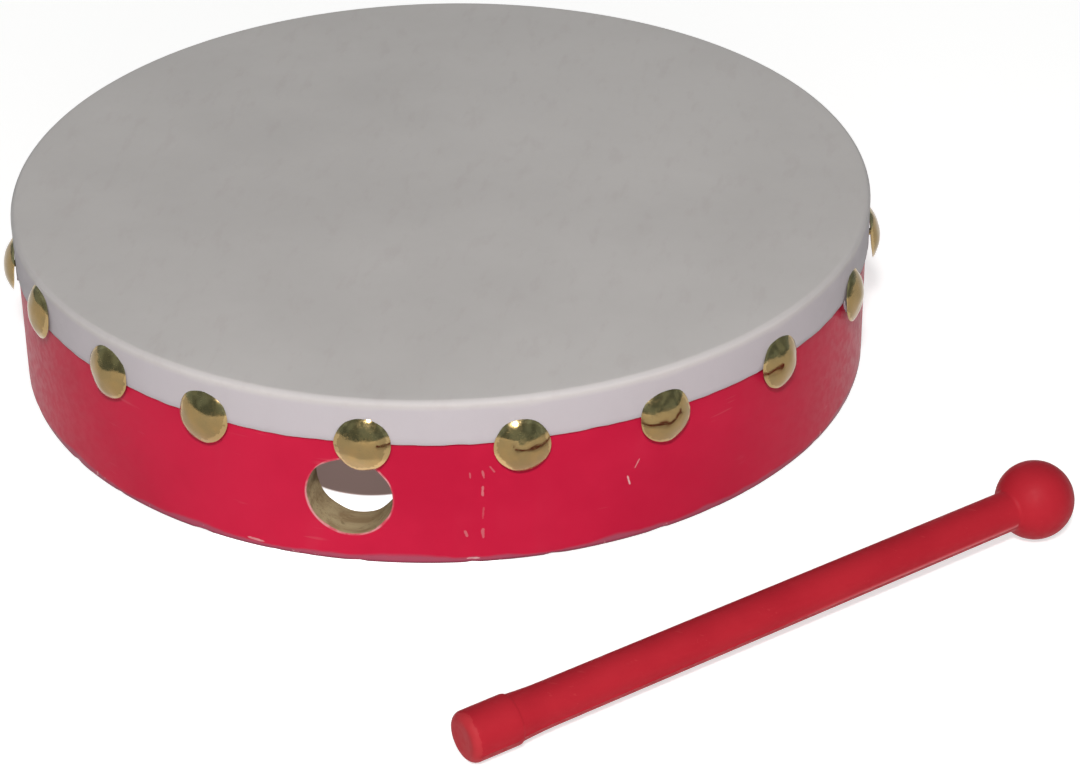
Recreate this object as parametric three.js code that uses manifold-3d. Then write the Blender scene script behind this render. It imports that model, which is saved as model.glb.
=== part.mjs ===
// A hand drum and its beater. The drum is a shallow hoop, open at the back, with a thumb hole in its
// side and a skin drawn over its top edge and held by domed tacks. The beater lies beside it.
// Millimetres, +Z up, the thumb hole faces -Y. The origin is the bottom centre of the set's box.
import * as THREE from 'three';
import { mergeVertices } from 'three/addons/utils/BufferGeometryUtils.js';
import Module from 'manifold-3d';

const wasm = await Module();
wasm.setup();

// Clearance between neighbouring pieces
const FIT_GAP = 0.3;

// Drum over the skin, and the wooden hoop inside it
const DRUM_DIAMETER = 200.4;
const DRUM_HEIGHT = 41.2;
const HOOP_WALL = 9;
const BEARING_EDGE_RADIUS = 0.8;
const EDGE_EASE = 0.5;
const THUMB_HOLE_DIAMETER = 18.5;
// The thumb hole sits this far above the middle of the bare band below the tacks
const THUMB_HOLE_RISE = 1.1;

// Skin: its skirt ends at the tacks' middle, and a tab goes on under each tack
const SKIN_THICKNESS = 0.4;
const SKIRT_DEPTH = 10.6;
const TAB_RADIUS = 4.2;

// Domed tacks, driven from above by hand, so that they lean back until only the top of the rim is down.
// They start over the thumb hole and go round towards +X: each one's drift from the even pitch in
// degrees, and its rise above the skirt's edge
const TACK_COUNT = 20;
const TACK_HEAD_DIAMETER = 12.4;
const TACK_DOME_HEIGHT = 2.2;
const TACK_SHEET = 0.5;
const TACK_PIN_DIAMETER = 1.6;
const TACK_PIN_LENGTH = 8;
const TACK_POINT_LENGTH = 1.8;
const TACK_LEAN = 6;
const FIRST_TACK_ANGLE = 2.1;
const TACK_DRIFT = [
  0, 1.3, 1.9, 2.9, 5.3, 4, 3.5, 3, 3, 2.5,
  2.5, 2, 1.5, 1.5, 1, 0.5, 1, 0.2, -0.6, -2.8,
];
const TACK_RISE = [
  0, -1, -0.8, -0.2, -0.9, -0.2, 0, 0, 0, 0,
  0, 0, 0, 0, 0, 0, -0.2, 3, 1.5, 0.3,
];

// Beater: a ball and an end cap on the spigots of a slightly tapered stick, which flares to the cap
const BEATER_LENGTH = 154.2;
const BALL_DIAMETER = 17.2;
const STICK_BALL_DIAMETER = 8.8;
const STICK_CAP_DIAMETER = 9.4;
const STICK_FLARE = 0.35;
const STICK_FLARE_LENGTH = 8;
const CAP_FLARE = 0.75;
const CAP_LENGTH = 11.4;
const CAP_END_RADIUS = 1.8;
const SPIGOT_DIAMETER = 6.4;
const SPIGOT_LENGTH = 8;

// Where the beater lies: turned from +X, out from the skirt, and its ball along its own line
const BEATER_HEADING = 43.3;
const BEATER_STAND_OFF = 45.3;
const BEATER_BALL_ALONG = 60;

// Facets round each kind of circle, and along each kind of arc
const RIM_FACETS = 96;
const HOLE_FACETS = 40;
const TACK_FACETS = 16;
const PIN_HOLE_FACETS = 8;
const BEATER_FACETS = 24;
const EASE_STEPS = 2;
const FOLD_STEPS = 4;
const DOME_STEPS = 4;
const HOLLOW_STEPS = 2;
const BALL_STEPS = 12;
const CAP_STEPS = 4;

// Places that follow from the sizes
const SKIN_RADIUS = DRUM_DIAMETER / 2;
const HOOP_RADIUS = SKIN_RADIUS - SKIN_THICKNESS - FIT_GAP;
const HOOP_INNER_RADIUS = HOOP_RADIUS - HOOP_WALL;
const HOOP_HEIGHT = DRUM_HEIGHT - SKIN_THICKNESS - FIT_GAP;
const SKIRT_EDGE = DRUM_HEIGHT - SKIRT_DEPTH;
const TACK_TURN = THREE.MathUtils.degToRad(90 - TACK_LEAN);
const TACK_SEAT_RADIUS = SKIN_RADIUS + FIT_GAP + (TACK_HEAD_DIAMETER / 2) * Math.cos(TACK_TURN);
const TACK_PLACES = Array.from({ length: TACK_COUNT }, (_, i) => ({
  angle: THREE.MathUtils.degToRad(FIRST_TACK_ANGLE + (i * 360) / TACK_COUNT + (TACK_DRIFT[i] ?? 0) - 90),
  height: SKIRT_EDGE + (TACK_RISE[i] ?? 0),
}));
const THUMB_HOLE_PLACE = { angle: -Math.PI / 2, height: SKIRT_EDGE / 2 + THUMB_HOLE_RISE };

const MATERIALS = {
  lacquer: new THREE.MeshStandardMaterial({ color: '#c81e3c', roughness: 0.35, metalness: 0 }),
  skin: new THREE.MeshStandardMaterial({ color: '#cac6c4', roughness: 0.7, metalness: 0 }),
  brass: new THREE.MeshStandardMaterial({ color: '#b59a55', roughness: 0.25, metalness: 1 }),
  plastic: new THREE.MeshStandardMaterial({ color: '#bb2530', roughness: 0.4, metalness: 0 }),
};

// Points of an arc, angles in degrees
function arc(x, y, radius, from, to, steps) {
  return Array.from({ length: steps + 1 }, (_, i) => {
    const angle = THREE.MathUtils.degToRad(from + ((to - from) * i) / steps);
    return [x + radius * Math.cos(angle), y + radius * Math.sin(angle)];
  });
}

// Shared corners are merged, and triangles that collapse at the axis are dropped
function welded(geometry) {
  geometry.deleteAttribute('normal');
  geometry.deleteAttribute('uv');
  const merged = mergeVertices(geometry);
  const corners = merged.index.array;
  const kept = [];
  for (let i = 0; i < corners.length; i += 3) {
    const triangle = [corners[i], corners[i + 1], corners[i + 2]];
    if (new Set(triangle).size === 3) kept.push(...triangle);
  }
  merged.setIndex(kept);
  return merged;
}

// A profile of [radius, height] points turned about Z, with the material on its left
function turned(profile, facets) {
  const points = profile.map(([radius, height]) => new THREE.Vector2(radius, height));
  return welded(new THREE.LatheGeometry(points, facets).rotateX(Math.PI / 2));
}

// A round bar along Z
function bar(radius, from, to, facets) {
  const geometry = new THREE.CylinderGeometry(radius, radius, to - from, facets);
  return welded(geometry.rotateX(Math.PI / 2).translate(0, 0, (from + to) / 2));
}

function solid(geometry) {
  return new wasm.Manifold(new wasm.Mesh({
    numProp: 3,
    vertProperties: Float32Array.from(geometry.attributes.position.array),
    triVerts: Uint32Array.from(geometry.index.array),
  }));
}

function geometryOf(body) {
  const { vertProperties, triVerts } = body.getMesh();
  const geometry = new THREE.BufferGeometry();
  geometry.setAttribute('position', new THREE.BufferAttribute(vertProperties, 3));
  geometry.setIndex(new THREE.BufferAttribute(triVerts, 1));
  return geometry;
}

function piece(name, geometry, material) {
  geometry.computeVertexNormals();
  const mesh = new THREE.Mesh(geometry, material);
  mesh.name = name;
  return mesh;
}

// A bar that crosses the drum's wall straight outwards at one place
function wallBar(radius, fromRadius, toRadius, facets, place) {
  const across = bar(radius, fromRadius, toRadius, facets).rotateY(Math.PI / 2);
  return solid(across.rotateZ(place.angle).translate(0, 0, place.height));
}

// A hole for each tack's pin, leaning as the tack does
function tackPinHoles() {
  const radius = TACK_PIN_DIAMETER / 2 + FIT_GAP;
  return TACK_PLACES.map((place) => {
    const hole = bar(radius, -TACK_PIN_LENGTH - FIT_GAP, 0, PIN_HOLE_FACETS).rotateY(TACK_TURN);
    return solid(hole.translate(TACK_SEAT_RADIUS, 0, place.height).rotateZ(place.angle));
  });
}

function cutAll(body, cutters) {
  return cutters.reduce((rest, cutter) => rest.subtract(cutter), body);
}

// Hoop: a square ring with eased edges and a rounded bearing edge where the skin turns over it
function makeHoop() {
  const bearingCentre = [HOOP_RADIUS - BEARING_EDGE_RADIUS, HOOP_HEIGHT - BEARING_EDGE_RADIUS];
  const innerCentre = HOOP_INNER_RADIUS + EDGE_EASE;
  const profile = [
    ...arc(HOOP_RADIUS - EDGE_EASE, EDGE_EASE, EDGE_EASE, -90, 0, EASE_STEPS),
    ...arc(...bearingCentre, BEARING_EDGE_RADIUS, 0, 90, FOLD_STEPS),
    ...arc(innerCentre, HOOP_HEIGHT - EDGE_EASE, EDGE_EASE, 90, 180, EASE_STEPS),
    ...arc(innerCentre, EDGE_EASE, EDGE_EASE, 180, 270, EASE_STEPS),
  ];
  profile.push(profile[0]);
  const thumbHole = wallBar(
    THUMB_HOLE_DIAMETER / 2, HOOP_INNER_RADIUS - HOOP_WALL, HOOP_RADIUS + HOOP_WALL,
    HOLE_FACETS, THUMB_HOLE_PLACE,
  );
  const hoop = cutAll(solid(turned(profile, RIM_FACETS)), [thumbHole, ...tackPinHoles()]);
  return piece('hoop', geometryOf(hoop), MATERIALS.lacquer);
}

// Skin: a flat head with a turned-down skirt, trimmed between the tacks
function makeSkin() {
  const innerRadius = SKIN_RADIUS - SKIN_THICKNESS;
  const underside = DRUM_HEIGHT - SKIN_THICKNESS;
  const innerFold = BEARING_EDGE_RADIUS + FIT_GAP;
  const foldRadius = SKIN_RADIUS - innerFold - SKIN_THICKNESS;
  const foldHeight = DRUM_HEIGHT - innerFold - SKIN_THICKNESS;
  const untrimmedEdge = SKIRT_EDGE - TAB_RADIUS;
  const untrimmed = turned([
    [0, underside],
    ...arc(foldRadius, foldHeight, innerFold, 90, 0, FOLD_STEPS),
    [innerRadius, untrimmedEdge],
    [SKIN_RADIUS, untrimmedEdge],
    ...arc(foldRadius, foldHeight, innerFold + SKIN_THICKNESS, 0, 90, FOLD_STEPS),
    [0, DRUM_HEIGHT],
  ], RIM_FACETS);

  const trimFrom = innerRadius - SKIN_THICKNESS;
  const trimTo = SKIN_RADIUS + SKIN_THICKNESS;
  const trimBottom = untrimmedEdge - SKIN_THICKNESS;
  const trimRing = turned([
    [trimFrom, trimBottom],
    [trimTo, trimBottom],
    [trimTo, SKIRT_EDGE],
    [trimFrom, SKIRT_EDGE],
    [trimFrom, trimBottom],
  ], RIM_FACETS);
  const tabs = TACK_PLACES.map((place) => (
    wallBar(TAB_RADIUS, trimFrom - SKIN_THICKNESS, trimTo + SKIN_THICKNESS, TACK_FACETS, place)
  ));
  const trim = cutAll(solid(trimRing), tabs);
  const skin = cutAll(solid(untrimmed), [trim, ...tackPinHoles()]);
  return piece('skin_head', geometryOf(skin), MATERIALS.skin);
}

// Tack: a hollow dome, its rim at zero height, with a pointed pin below
function tackGeometry() {
  const headRadius = TACK_HEAD_DIAMETER / 2;
  const pinRadius = TACK_PIN_DIAMETER / 2;
  const domeRadius = (headRadius ** 2 + TACK_DOME_HEIGHT ** 2) / (2 * TACK_DOME_HEIGHT);
  const domeCentre = TACK_DOME_HEIGHT - domeRadius;
  const hollowRadius = domeRadius - TACK_SHEET;
  const degrees = THREE.MathUtils.radToDeg;
  const hollowTop = degrees(Math.acos(pinRadius / hollowRadius));
  const hollowRim = degrees(Math.asin(-domeCentre / hollowRadius));
  const domeRim = degrees(Math.asin(-domeCentre / domeRadius));
  return turned([
    [0, -TACK_PIN_LENGTH],
    [pinRadius, TACK_POINT_LENGTH - TACK_PIN_LENGTH],
    ...arc(0, domeCentre, hollowRadius, hollowTop, hollowRim, HOLLOW_STEPS),
    ...arc(0, domeCentre, domeRadius, domeRim, 90, DOME_STEPS),
  ], TACK_FACETS);
}

function makeTacks() {
  return TACK_PLACES.map(({ angle, height }, i) => {
    const tack = piece(`tack_${String(i + 1).padStart(2, '0')}`, tackGeometry(), MATERIALS.brass);
    tack.position.set(TACK_SEAT_RADIUS, 0, height);
    tack.rotation.y = TACK_TURN;
    const place = new THREE.Group();
    place.rotation.z = angle;
    place.add(tack);
    return place;
  });
}

// Beater: turned about Z, its ball's centre at zero height and its end cap below
function makeBeater() {
  const ballRadius = BALL_DIAMETER / 2;
  const tipRadius = STICK_BALL_DIAMETER / 2;
  const buttRadius = STICK_CAP_DIAMETER / 2;
  const capRadius = buttRadius + CAP_FLARE;
  const spigotRadius = SPIGOT_DIAMETER / 2;
  const boreRadius = spigotRadius + FIT_GAP;
  const ballSeat = -Math.sqrt(ballRadius ** 2 - tipRadius ** 2);
  const capEnd = ballRadius - BEATER_LENGTH;
  const capSeat = capEnd + CAP_LENGTH;

  const seatAngle = THREE.MathUtils.radToDeg(Math.atan2(ballSeat, tipRadius));
  const ballBore = ballSeat + SPIGOT_LENGTH;
  const ball = turned([
    [0, ballBore],
    [boreRadius, ballBore],
    [boreRadius, ballSeat],
    ...arc(0, 0, ballRadius, seatAngle, 90, BALL_STEPS),
  ], BEATER_FACETS);

  const stickTop = ballSeat - FIT_GAP;
  const stickBottom = capSeat + FIT_GAP;
  const stick = turned([
    [0, stickBottom - SPIGOT_LENGTH],
    [spigotRadius, stickBottom - SPIGOT_LENGTH],
    [spigotRadius, stickBottom],
    [buttRadius + STICK_FLARE, stickBottom],
    [buttRadius, stickBottom + STICK_FLARE_LENGTH],
    [tipRadius, stickTop],
    [spigotRadius, stickTop],
    [spigotRadius, stickTop + SPIGOT_LENGTH],
    [0, stickTop + SPIGOT_LENGTH],
  ], BEATER_FACETS);

  const capBore = capSeat - SPIGOT_LENGTH;
  const cap = turned([
    [0, capEnd],
    ...arc(capRadius - CAP_END_RADIUS, capEnd + CAP_END_RADIUS, CAP_END_RADIUS, -90, 0, CAP_STEPS),
    [capRadius, capSeat],
    [boreRadius, capSeat],
    [boreRadius, capBore],
    [0, capBore],
  ], BEATER_FACETS);

  // Lying down, the beater touches the table at the ball and at the cap's last full ring
  const ringBack = capEnd + CAP_END_RADIUS;
  const tilt = Math.asin(ballRadius / Math.hypot(ringBack, capRadius)) - Math.atan2(capRadius, -ringBack);
  const beater = new THREE.Group();
  beater.add(
    piece('beater_ball', ball, MATERIALS.plastic),
    piece('beater_stick', stick, MATERIALS.plastic),
    piece('beater_end_cap', cap, MATERIALS.plastic),
  );
  beater.rotation.y = Math.PI / 2 - tilt;
  beater.position.set(BEATER_BALL_ALONG, -(SKIN_RADIUS + BEATER_STAND_OFF), ballRadius);
  const place = new THREE.Group();
  place.rotation.z = THREE.MathUtils.degToRad(BEATER_HEADING);
  place.add(beater);
  return place;
}

const group = new THREE.Group();
group.add(makeHoop(), makeSkin(), ...makeTacks(), makeBeater());

// The set stands on the table with its box centred on the origin
const box = new THREE.Box3().setFromObject(group, true);
const middle = box.getCenter(new THREE.Vector3());
group.position.set(-middle.x, -middle.y, -box.min.z);

export default group;
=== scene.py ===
"""A hand drum and its beater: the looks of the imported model, in metres, in the part's own frame."""
import math

import bmesh
import bpy
import numpy as np
from mathutils import Matrix, Vector


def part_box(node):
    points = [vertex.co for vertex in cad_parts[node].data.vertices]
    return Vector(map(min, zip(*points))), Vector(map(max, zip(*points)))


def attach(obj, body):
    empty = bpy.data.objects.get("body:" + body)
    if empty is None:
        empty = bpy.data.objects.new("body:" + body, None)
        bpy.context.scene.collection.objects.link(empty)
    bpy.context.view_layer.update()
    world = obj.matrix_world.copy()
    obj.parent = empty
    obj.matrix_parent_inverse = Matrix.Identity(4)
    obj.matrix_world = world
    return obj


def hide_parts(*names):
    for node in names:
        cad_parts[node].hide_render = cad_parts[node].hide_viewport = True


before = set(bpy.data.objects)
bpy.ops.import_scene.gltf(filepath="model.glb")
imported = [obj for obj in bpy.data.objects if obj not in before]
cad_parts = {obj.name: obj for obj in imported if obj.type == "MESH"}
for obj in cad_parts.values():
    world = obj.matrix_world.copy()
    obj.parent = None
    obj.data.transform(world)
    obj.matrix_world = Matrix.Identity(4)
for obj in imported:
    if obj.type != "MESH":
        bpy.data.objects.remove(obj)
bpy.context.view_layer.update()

MM = 0.001
ROUND = 2 * math.pi

# Hoop, in millimetres: a bent strip whose ends meet in a slanting glued joint at the back.
# Here and below, a SHARP value is the angle in degrees past which an edge is shaded sharp
HOOP_RADIUS = 99.55
HOOP_INNER_RADIUS = 90.5
HOOP_TOP = 40.7
BEARING_EDGE = 0.9
EDGE_EASE = 0.6
HOOP_TURNS = 360
WALL_ROWS = 24
JOINT_TURN_OUTSIDE = math.radians(150)
JOINT_TURN_INSIDE = math.radians(172)
JOINT_GROOVE = 0.25
JOINT_STEPS = (-0.004, -0.0016, 0, 0.0016, 0.004)
WALL_WAVE = 0.07
WALL_RIPPLE = 0.02
FOOT_DENT = 0.3
FOOT_DENT_START = 0.7
FOOT_DENT_LIFT = 0.6
# The foot's mark, by height and depth, drives painted shade darkening the foot as well as the worn lacquer
# there
FOOT_SHADE_AND_WEAR_HEIGHT = 1.1
FOOT_SHADE_AND_WEAR_DEPTH = 2.5
FOOT_RUB_LOW = 0.9
FOOT_RUB_HIGH = 2.7
PAINTED_DEPTH = 0.2
PAINTED_FACING = 0.25
HOOP_SHARP = 38
THUMB_HOLE_RADIUS = 9.25
THUMB_HOLE_HEIGHT = 16.4
THUMB_HOLE_TURN = math.radians(-90)
THUMB_HOLE_EASE = 0.3
THUMB_HOLE_LIP = 0.1
THUMB_HOLE_ROUGHNESS = 0.012
THUMB_HOLE_SPOTS = 96
CHIPPED_RIM_OUTSIDE = 0.65
CHIPPED_RIM_INSIDE = 0.35
CUTTER_OVERSHOOT = 8

# Skin, in millimetres
SKIN_RADIUS = 100.2
SKIN_TOP = 41.2
SKIN_THICKNESS = 0.45
SKIN_FOLD = 1.3
SKIRT_EDGE = 30.6
TAB_RADIUS = 4.2
SKIRT_WAVE = 0.14
SKIRT_RIPPLE = 0.06
SKIRT_STAND_OFF = 0.10
SKIRT_STAND_OFF_GROWTH = 0.7
SKIRT_FLUTTER = 0.03
SKIRT_ROWS = 8
SKIRT_LAP = 0.012
SKIRT_CUT = 0.08
TACK_PRESS_REACH = 6.5
HEAD_MIDDLE = 80
HEAD_RINGS = 12
HEAD_BORDER = 84
BORDER_RINGS = 5
FLAT_STOPS_SHORT = 2
SOILED_EDGE = 1.6
# How far below the fold the skirt's painted shade comes in, and where and how wide the fold's painted shade
# lies
SKIRT_SHADE_DROP = 0.8
FOLD_SHADE_DROP = 0.4
FOLD_SHADE_WIDTH = 0.3
NEAR_THE_WALL = 2
SKIN_TURNS = 480
SKIN_SHARP = 50

# Tacks, in millimetres: the lip is how far in from the rim and how far up,
# and the driving holds the node tree's inputs in metres and radians
TACK_RADIUS = 6.2
TACK_DOME = 2.2
TACK_SHEET = 0.5
TACK_ROLL = 0.16
TACK_PIN_RADIUS = 0.8
TACK_PIN_LENGTH = 8.0
TACK_POINT_LENGTH = 1.8
TACK_HOLLOW_RIM = 0.05
TACK_LIP = ((0.3, 0), (0.06, 0.04))
TACK_WORN_RIM = 0.8
TACK_WORN_FROM = -0.1
TACK_SHARP = 60
TACK_SINK = 0.6
TACK_TURNS = 40
TACK_LEAN = math.radians(6)
TACK_DRIVING = {"Lean": 0.035, "Spin": math.pi, "Dent depth": 0.0006, "Dent scale": 190.0, "Seed": 7}

# Beater, in millimetres: the cap's dish is radius and depth, its mouth how much narrower and how far down
BALL_RADIUS = 8.6
TIP_RADIUS = 4.4
BUTT_RADIUS = 4.7
CAP_RADIUS = 5.45
CAP_LENGTH = 11.4
CAP_END_RADIUS = 1.8
CAP_DISH = ((2.6, 0.05), (1.3, 0.14), (0, 0.17))
CAP_MOUTH = ((0.32, 0), (0.12, 0.05), (0.03, 0.25), (0, 0.6))
CAP_WORN_LENGTH = 1.6
STICK_FLARE = 0.38
STICK_FLARE_LENGTH = 8.0
STICK_FLARE_BEND = 1.6
NECK_FILLET = 1.2
NECK_LENGTH = 1
SOCKET_INSET = 0.4
BUTT_INTO_CAP = 1
BUTT_CHAMFER = 0.6
TIP_INTO_BALL = 0.3
TIP_CHAMFER = 0.1
BEATER_SHARP = 40
BEATER_TURNS = 120
SEAM_HEIGHT = 0.22
SEAM_WIDTH = 0.07
SEAM_TURN = math.radians(15)
# Where the painted highlight along the seam starts and how long it takes to fade in
SEAM_HIGHLIGHT_START = -72.0
SEAM_HIGHLIGHT_FADE = 30
SEAM_LEAST_RADIUS = 3.5

# Camera at the photograph's viewing angle, turned round the drum's axis
CAMERA_OUT = 0.68766
CAMERA_HEIGHT = 0.39859
CAMERA_TURN = 12.55
CAMERA_PAN = -1.877
CAMERA_TILT = -31.0537
CAMERA_ROLL = 0.7037
CAMERA_LENS = 110.0
CAMERA_SENSOR = 36.0
CAMERA_NEAR = 0.01

# Colours as they look, 0 to 255
CRIMSON = (203, 32, 66)
CRIMSON_DEEP = (190, 24, 58)
CRIMSON_HAZE = (200, 58, 80)
# painted shade along the foot, where the drum meets the floor
CRIMSON_FOOT_SHADE = (104, 30, 50)
CRIMSON_DUSTY = (160, 84, 104)
CHIPPED_PALE = (226, 186, 184)
SKIN_WHITE = (208, 203, 201)
SKIN_SHADE = (199, 194, 192)
SKIN_SOIL = (176, 160, 160)
# painted shade: a darker lilac tone on the skirt, for how light falls on the drum's side
SKIRT_LILAC_SHADE = (192, 185, 190)
# painted shade along the fold, dimming its highlight
FOLD_SHADE_TONE = (194, 189, 190)
BRASS_GOLD = (150, 125, 82)
BRASS_TARNISH = (124, 111, 80)
BRASS_WORN = (206, 178, 128)
PLASTIC_RED = (180, 37, 49)
PLASTIC_DEEP = (170, 31, 44)
PLASTIC_SCUFF = (205, 84, 84)
# painted highlight along the moulding seam
PLASTIC_SEAM_HIGHLIGHT = (224, 140, 144)
WOOD_PALE = (182, 164, 128)
WOOD_DARK = (146, 124, 92)
WOOD_PORE = (96, 76, 52)
WOOD_SHADE = (150, 124, 92)
LACQUER_SMEAR = (170, 60, 66)
FLOOR_WHITE = (212, 212, 212)
# painted shade on the floor inside the drum
FLOOR_SHADED = (196, 166, 158)

# Finishes: roughness at its least and most, relief as strength and depth, and specular level
LACQUER_ROUGHNESS = (0.34, 0.44)
LACQUER_RELIEF = (0.16, 0.00012)
LACQUER_SPECULAR = 0.08
WOOD_ROUGHNESS = (0.68, 0.84)
WOOD_RELIEF = (0.5, 0.0002)
WOOD_SPECULAR = 0.3
SKIN_ROUGHNESS = (0.56, 0.68)
SKIN_RELIEF = (0.22, 0.00012)
SKIN_SPECULAR = 0.3
BRASS_ROUGHNESS = (0.12, 0.2)
BRASS_RELIEF = (0.12, 0.0002)
PLASTIC_ROUGHNESS = (0.48, 0.6)
PLASTIC_RELIEF = (0.15, 0.00012)
PLASTIC_SPECULAR = 0.12

# Scratches on the lacquer: degrees from the thumb hole, height, slant, half length, half width, strength
NICKS = [
    (16.6, 22.4, 0.2, 1.2, 0.288, 0.24),
    (17.7, 23.6, 0.6, 1.1, 0.256, 0.2),
    (15.0, 22.3, 0.1, 0.9, 0.224, 0.208),
    (16.5, 18.2, 0.0, 1.3, 0.352, 0.304),
    (16.5, 12.6, -0.1, 1.6, 0.256, 0.12),
    (16.4, 7.5, 0.0, 1.4, 0.416, 0.24),
    (14.3, 7.7, 0.3, 1.0, 0.36, 0.256),
    (36.4, 18.9, -0.5, 1.3, 0.176, 0.48),
    (35.2, 15.2, 0.25, 1.3, 0.24, 0.8),
    (15.2, 1.3, 1.55, 1.6, 0.28, 0.72),
    (-12.7, 1.8, 1.5, 2.2, 0.32, 0.48),
]

# Floor: its half size in metres, how strongly the camera and shiny metal see its own white,
# and from where to where it brightens far off, in millimetres
FLOOR_SIZE = 60.0
FLOOR_GLOW = 0.95
# Glow inside the drum, lower as painted shade, and the extra glow of the painted pool of light by the thumb
# hole
FLOOR_GLOW_SHADED = 0.3
CRESCENT_PAINTED_LIGHT = 0.8
FAR_GLOW = 0.55
FAR_GLOW_FROM = 300
FAR_GLOW_TO = 1500

# Room: its own light, and the tint and strengths of the uneven room that shiny metal shows
ROOM_LIGHT = (0.92, 1.0, 0.95, 1.0)
ROOM_STRENGTH = 0.15
ROOM_TINT = (0.64, 0.86, 0.95, 1.0)
ROOM_REFLECTED = (0.34, 0.66)
ROOM_PATCH_SCALE = 2.6

# Floor seen through the thumb hole, in millimetres: the part painted as shade, and how far in the painted
# pool of light reaches
SHADED_FLOOR_IN = 46.0
SHADED_FLOOR_RADIUS = 20.0
SHADED_FLOOR_TURN = 6
SHADED_FLOOR_SOFTNESS = 0.5
CRESCENT_REACH = 34.0
CRESCENT_FADE = 3

# Lamps: turn from the camera and elevation in degrees, size, power, colour, and whether shiny metal shows it
LAMP_DISTANCE = 1.3
LAMP_AIM = Vector((0.0, 0.0, 0.02))
LAMPS = {
    "key": (-4, 43, 0.11, 11.4, (1.0, 0.98, 0.97), True),
    "front_fill": (4, 12, 0.6, 4.0, (1.0, 0.96, 1.0), False),
    "back_fill": (176, 8, 0.36, 4.0, (1.0, 0.98, 0.97), False),
}


def linear(colour):
    """A colour as it looks, 0 to 255, as the shader's own numbers."""
    shares = [c / 255 for c in colour]
    return [s / 12.92 if s <= 0.04045 else ((s + 0.055) / 1.055) ** 2.4 for s in shares] + [1.0]


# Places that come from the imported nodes

def node_points(name):
    """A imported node's points, in metres."""
    return np.array([v.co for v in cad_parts[name].data.vertices], float)


skin_low, skin_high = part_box("skin_head")
DRUM_AXIS = Vector(((skin_low.x + skin_high.x) / 2, (skin_low.y + skin_high.y) / 2, 0))
TACK_NODES = sorted(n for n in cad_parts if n.startswith("tack_"))


def tack_places():
    """Each tack's turn about the drum, the way it faces and the middle of its rim, from its node."""
    turns, facings, rims = [], [], []
    for name in TACK_NODES:
        points = node_points(name)
        middle = points.mean(0)
        turn = math.atan2(middle[1] - DRUM_AXIS.y, middle[0] - DRUM_AXIS.x)
        level = math.cos(TACK_LEAN)
        facing = np.array([level * math.cos(turn), level * math.sin(turn), math.sin(TACK_LEAN)])
        top = (points @ facing).max() - TACK_DOME * MM
        turns.append(turn)
        facings.append(facing)
        rims.append(middle + facing * (top - middle @ facing))
    return np.array(turns), np.array(facings), np.array(rims)


TACK_TURN, TACK_FACING, TACK_RIM = tack_places()


def beater_frame():
    """The matrix that takes a beater turned about Z, its ball's middle at zero, to where it lies."""
    ball, cap = node_points("beater_ball"), node_points("beater_end_cap")
    along = Vector(ball.mean(0) - cap.mean(0)).normalized()
    tip = max(ball @ np.array(along))
    middle = Vector(ball.mean(0))
    middle += along * (tip - middle.dot(along) - BALL_RADIUS * MM)
    butt = min(cap @ np.array(along)) - middle.dot(along)
    side = along.cross(Vector((0, 0, 1))).normalized()
    turn = Matrix((side, side.cross(along) * -1, along)).transposed()
    return Matrix.Translation(middle) @ turn.to_4x4(), butt / MM


BEATER_PLACE, CAP_END = beater_frame()


# Meshes

def arc(x, y, radius, start, end, steps):
    """Points of an arc, angles in degrees."""
    angles = np.radians(np.linspace(start, end, steps + 1))
    return [(x + radius * math.cos(a), y + radius * math.sin(a)) for a in angles]


def unevenness(turn, seed, waves):
    """A smooth unevenness once round a circle, about -1 to 1."""
    phases = np.random.default_rng(seed).uniform(0, ROUND, len(waves))
    return sum(np.sin(k * turn + p) for k, p in zip(waves, phases)) / math.sqrt(len(waves))


def nearness(turn, reach):
    """How near a turn is to its nearest tack: 1 at the tack, 0 past the reach in millimetres."""
    away = np.abs((turn[:, None] - TACK_TURN[None, :] + math.pi) % ROUND - math.pi) * SKIN_RADIUS
    return np.exp(-((away.min(1) / reach) ** 2))


def wrapped(name, rows, ring=False):
    """One closed mesh from rows of points, in millimetres, that each go once round.

    A ring's last row meets its first.
    """
    grid = np.asarray(rows, float)
    count, across = grid.shape[:2]
    here = np.arange(count if ring else count - 1)
    cell = np.arange(across)
    low, high = here * across, (here + 1) % count * across
    quads = np.stack([
        low[:, None] + cell, low[:, None] + (cell + 1) % across,
        high[:, None] + (cell + 1) % across, high[:, None] + cell,
    ], -1)
    mesh = bpy.data.meshes.new(name)
    mesh.from_pydata((grid.reshape(-1, 3) * MM).tolist(), [], quads.reshape(-1, 4).tolist())
    bm = bmesh.new()
    bm.from_mesh(mesh)
    bmesh.ops.remove_doubles(bm, verts=bm.verts, dist=1e-6)
    bmesh.ops.recalc_face_normals(bm, faces=bm.faces)
    bm.to_mesh(mesh)
    bm.free()
    return mesh


def standing(name, mesh, materials):
    """A piece at the origin, with its place in its mesh."""
    piece = bpy.data.objects.new(name, mesh)
    bpy.context.scene.collection.objects.link(piece)
    for material in materials:
        mesh.materials.append(material)
    return piece


def smoothed(mesh, degrees):
    """Shades a mesh smooth, but sharp where it turns by more than so many degrees."""
    mesh.shade_smooth()
    mesh.set_sharp_from_angle(angle=math.radians(degrees))


def mark_points(mesh, name, values):
    """Gives each point of a mesh a number for its material to read."""
    mark = mesh.attributes.new(name, "FLOAT", "POINT")
    mark.data.foreach_set("value", np.asarray(values, np.float32))


def points_of(mesh):
    """A mesh's points, in metres."""
    points = np.zeros(len(mesh.vertices) * 3)
    mesh.vertices.foreach_get("co", points)
    return points.reshape(-1, 3)


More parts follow.
